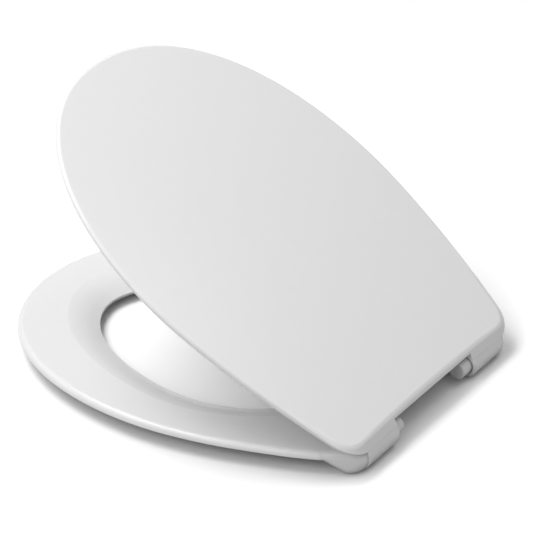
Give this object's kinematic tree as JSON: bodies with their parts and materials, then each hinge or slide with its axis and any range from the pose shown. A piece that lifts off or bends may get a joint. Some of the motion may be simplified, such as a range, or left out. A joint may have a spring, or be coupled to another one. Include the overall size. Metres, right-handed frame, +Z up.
{
  "type": "toilet seat",
  "caption": "Oval toilet seat with a dished ring and an arched lid, half open on damped rear hinges whose hubs take fixing posts.",
  "frame": {"origin": "on the plane under the seat buffers, straight below the middle of the hinge line", "axes": "+X along the hinge line to the seat's right, -Y to the front of the seat, +Z up"},
  "size_m": [0.373, 0.4596, 0.2758],
  "materials": {
    "lid_plastic": "glossy white moulding",
    "ring_plastic": "glossy white moulding",
    "hub_plastic": "glossy white moulding",
    "buffer_rubber": "matt pale grey rubber",
    "damper_body": "matt grey moulding",
    "damper_core": "matt natural plastic",
    "seal_rubber": "matt black rubber",
    "bearing_plastic": "matt natural bearing plastic"
  },
  "bodies": {
    "hinge": {"hinge_hub_left": "hub_plastic", "hinge_hub_right": "hub_plastic", "damper_rotor_left": "damper_core", "damper_rotor_right": "damper_core"},
    "seat": {"seat_ring": "ring_plastic", "seat_buffer_front_left": "buffer_rubber", "seat_buffer_front_right": "buffer_rubber", "seat_buffer_rear_left": "buffer_rubber", "seat_buffer_rear_right": "buffer_rubber", "ring_bush_left": "bearing_plastic", "thrust_washer_left": "bearing_plastic", "thrust_washer_right": "bearing_plastic", "damper_housing_right": "damper_body", "damper_cap_right": "damper_body", "damper_seal_right": "seal_rubber"},
    "lid": {"lid": "lid_plastic", "lid_buffer_left": "buffer_rubber", "lid_buffer_right": "buffer_rubber", "damper_housing_left": "damper_body", "damper_cap_left": "damper_body", "damper_seal_left": "seal_rubber"}
  },
  "joints": [
    {"name": "seat_lift", "type": "hinge", "parent": "hinge", "child": "seat", "pos_m": [0, 0, 0.014], "axis": [-1, 0, 0], "range_deg": [0, 100]},
    {"name": "lid_lift", "type": "hinge", "parent": "seat", "child": "lid", "pos_m": [0, 0, 0.014], "axis": [-1, 0, 0], "range_deg": [-33.4, 76.6]}
  ]
}
